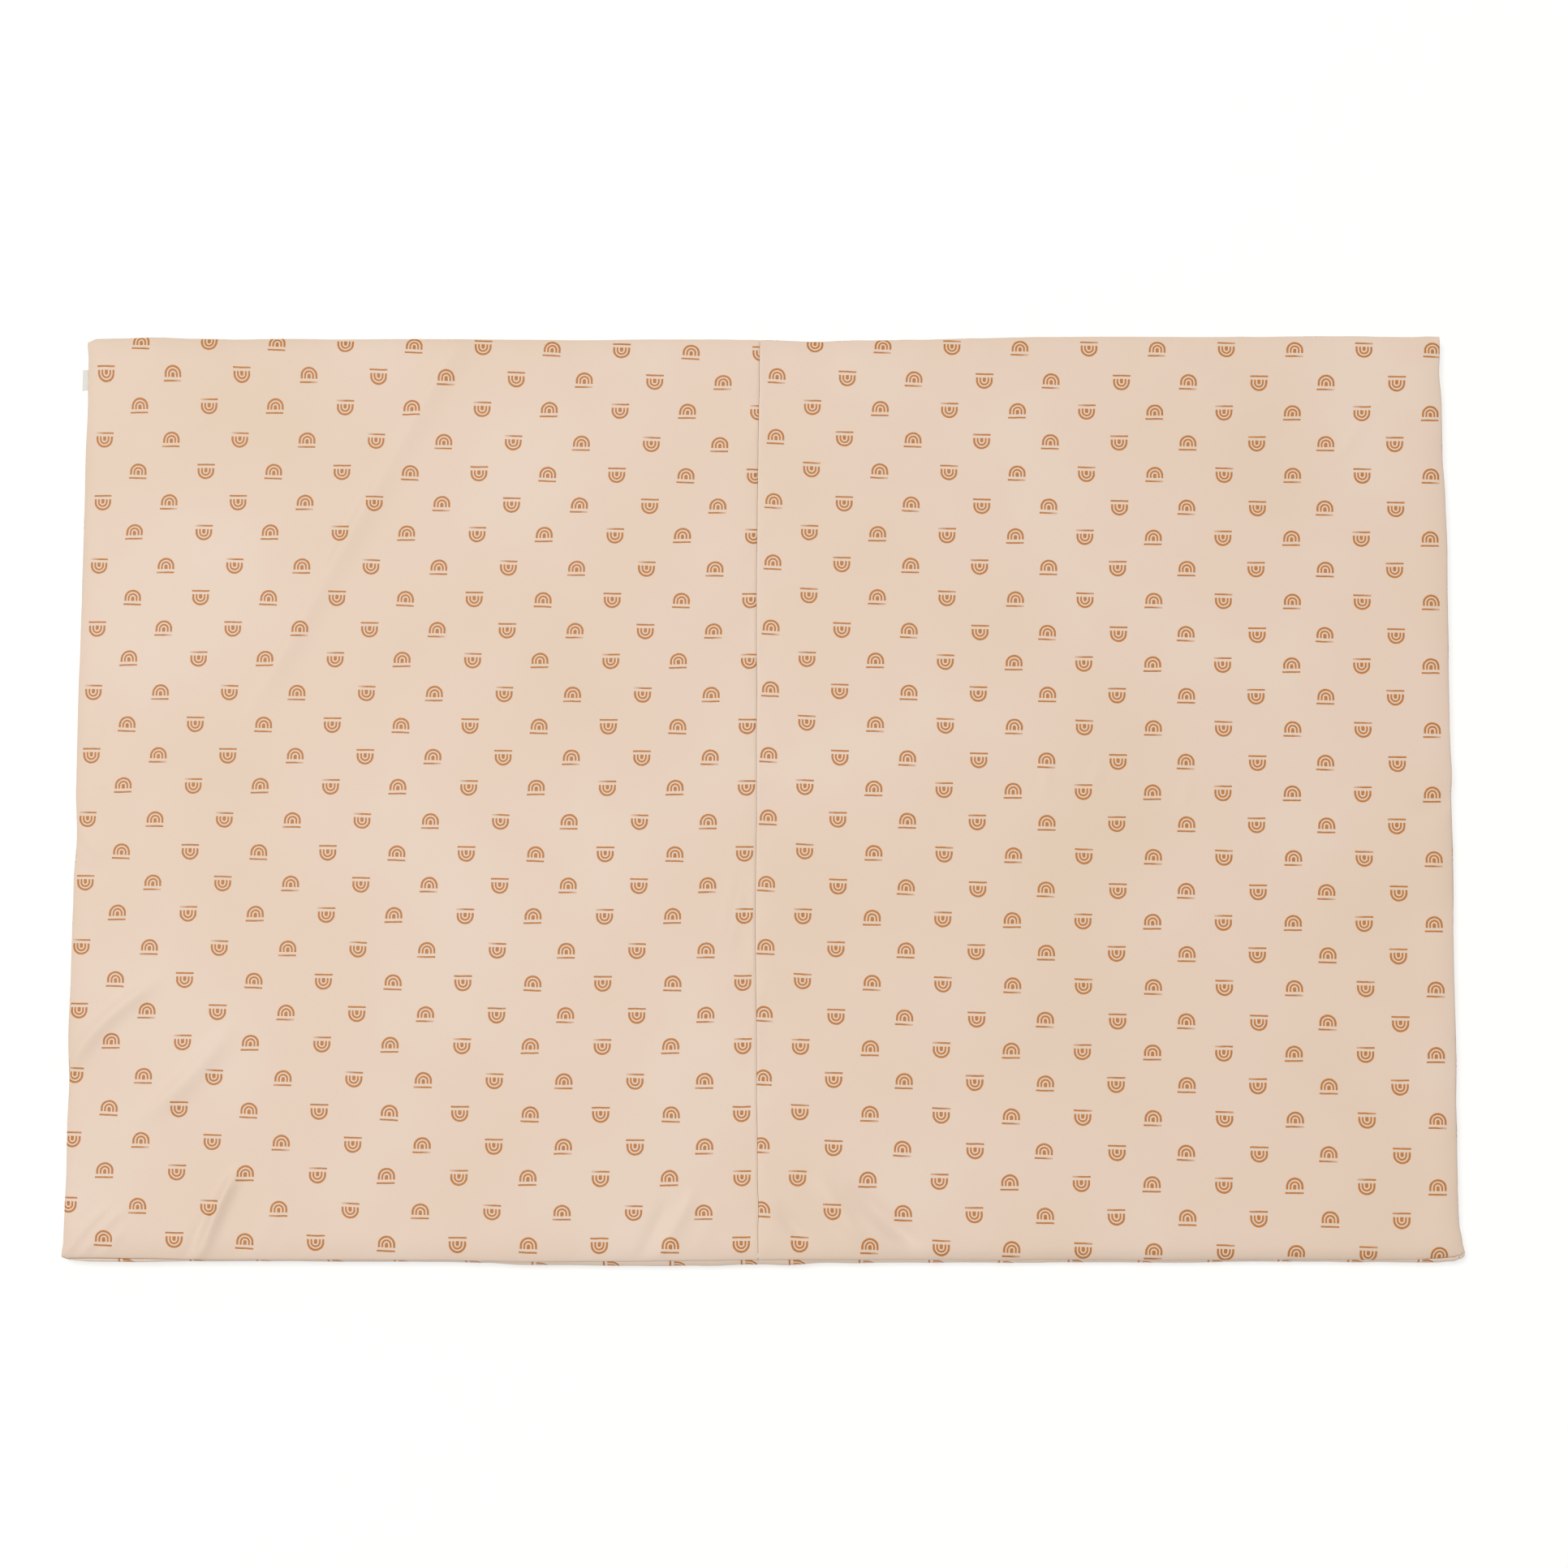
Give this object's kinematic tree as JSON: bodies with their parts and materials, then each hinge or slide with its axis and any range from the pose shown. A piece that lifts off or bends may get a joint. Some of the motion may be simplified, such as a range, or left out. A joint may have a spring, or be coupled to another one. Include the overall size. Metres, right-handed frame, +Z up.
{
  "type": "folding padded floor mat",
  "caption": "Open padded floor mat in printed faux leather: foam-filled halves with boxed sides, sewn together along a fold line.",
  "frame": {"origin": "middle of the mat's footprint, on the floor", "axes": "+X runs to the right across both halves, +Y runs away from the front edge along the fold line, +Z is up"},
  "size_m": [1.5016, 1.0205, 0.031],
  "materials": {
    "cover": "satin printed faux leather",
    "boxing": "satin printed faux leather",
    "seam": "matt sewn edge",
    "ribbon": "matt woven ribbon"
  },
  "bodies": {
    "root": {"left_pad": "cover", "right_pad": "cover", "left_front_boxing": "boxing", "left_side_boxing": "boxing", "left_back_boxing": "boxing", "right_front_boxing": "boxing", "right_side_boxing": "boxing", "right_back_boxing": "boxing", "fold_seam": "seam", "side_tag": "ribbon"}
  },
  "joints": []
}
